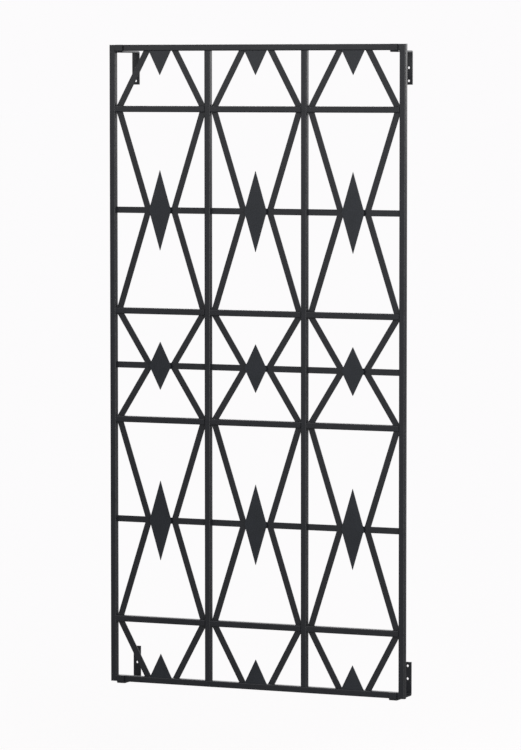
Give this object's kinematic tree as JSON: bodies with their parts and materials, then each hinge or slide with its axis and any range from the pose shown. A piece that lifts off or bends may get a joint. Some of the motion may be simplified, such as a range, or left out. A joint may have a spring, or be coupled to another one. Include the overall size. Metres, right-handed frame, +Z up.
{
  "type": "garden trellis",
  "caption": "Tall wall-hung metal garden trellis: square tube frame, slanting flat bar lattice and diamond plates, carried by strap hook brackets that are screwed to the wall.",
  "frame": {"origin": "middle of the footprint, level with the underside of the lower brackets", "axes": "+X along the panel, to the right as seen from the front; +Y from the panel towards the wall; +Z up"},
  "size_m": [1, 0.1254, 2.0053],
  "materials": {
    "powder_coated_steel": "satin dark grey powder coat"
  },
  "bodies": {
    "brackets": {"upper_left_bracket": "powder_coated_steel", "upper_right_bracket": "powder_coated_steel", "lower_left_bracket": "powder_coated_steel", "lower_right_bracket": "powder_coated_steel"},
    "panel": {"left_stile": "powder_coated_steel", "right_stile": "powder_coated_steel", "left_inner_upright": "powder_coated_steel", "right_inner_upright": "powder_coated_steel", "top_rail": "powder_coated_steel", "bottom_rail": "powder_coated_steel", "cross_tube_1_left": "powder_coated_steel", "cross_tube_1_middle": "powder_coated_steel", "cross_tube_1_right": "powder_coated_steel", "cross_tube_2_left": "powder_coated_steel", "cross_tube_2_middle": "powder_coated_steel", "cross_tube_2_right": "powder_coated_steel", "cross_tube_3_left": "powder_coated_steel", "cross_tube_3_middle": "powder_coated_steel", "cross_tube_3_right": "powder_coated_steel", "cross_tube_4_left": "powder_coated_steel", "cross_tube_4_middle": "powder_coated_steel", "cross_tube_4_right": "powder_coated_steel", "upper_waist_bars": "powder_coated_steel", "middle_waist_bars": "powder_coated_steel", "lower_waist_bars": "powder_coated_steel", "top_diagonals_left": "powder_coated_steel", "top_diagonals_middle": "powder_coated_steel", "top_diagonals_right": "powder_coated_steel", "upper_diagonals_left": "powder_coated_steel", "upper_diagonals_middle": "powder_coated_steel", "upper_diagonals_right": "powder_coated_steel", "middle_diagonals_left": "powder_coated_steel", "middle_diagonals_middle": "powder_coated_steel", "middle_diagonals_right": "powder_coated_steel", "lower_diagonals_left": "powder_coated_steel", "lower_diagonals_middle": "powder_coated_steel", "lower_diagonals_right": "powder_coated_steel", "bottom_diagonals_left": "powder_coated_steel", "bottom_diagonals_middle": "powder_coated_steel", "bottom_diagonals_right": "powder_coated_steel", "upper_diamond_left": "powder_coated_steel", "upper_diamond_middle": "powder_coated_steel", "upper_diamond_right": "powder_coated_steel", "middle_diamond_left": "powder_coated_steel", "middle_diamond_middle": "powder_coated_steel", "middle_diamond_right": "powder_coated_steel", "lower_diamond_left": "powder_coated_steel", "lower_diamond_middle": "powder_coated_steel", "lower_diamond_right": "powder_coated_steel", "top_half_diamond_left": "powder_coated_steel", "top_half_diamond_middle": "powder_coated_steel", "top_half_diamond_right": "powder_coated_steel", "bottom_half_diamond_left": "powder_coated_steel", "bottom_half_diamond_middle": "powder_coated_steel", "bottom_half_diamond_right": "powder_coated_steel", "diamond_spacers": "powder_coated_steel"}
  },
  "joints": [
    {"name": "panel_lift", "type": "slide", "parent": "brackets", "child": "panel", "axis": [0, 0, 1], "range_m": [0, 0.025]}
  ]
}
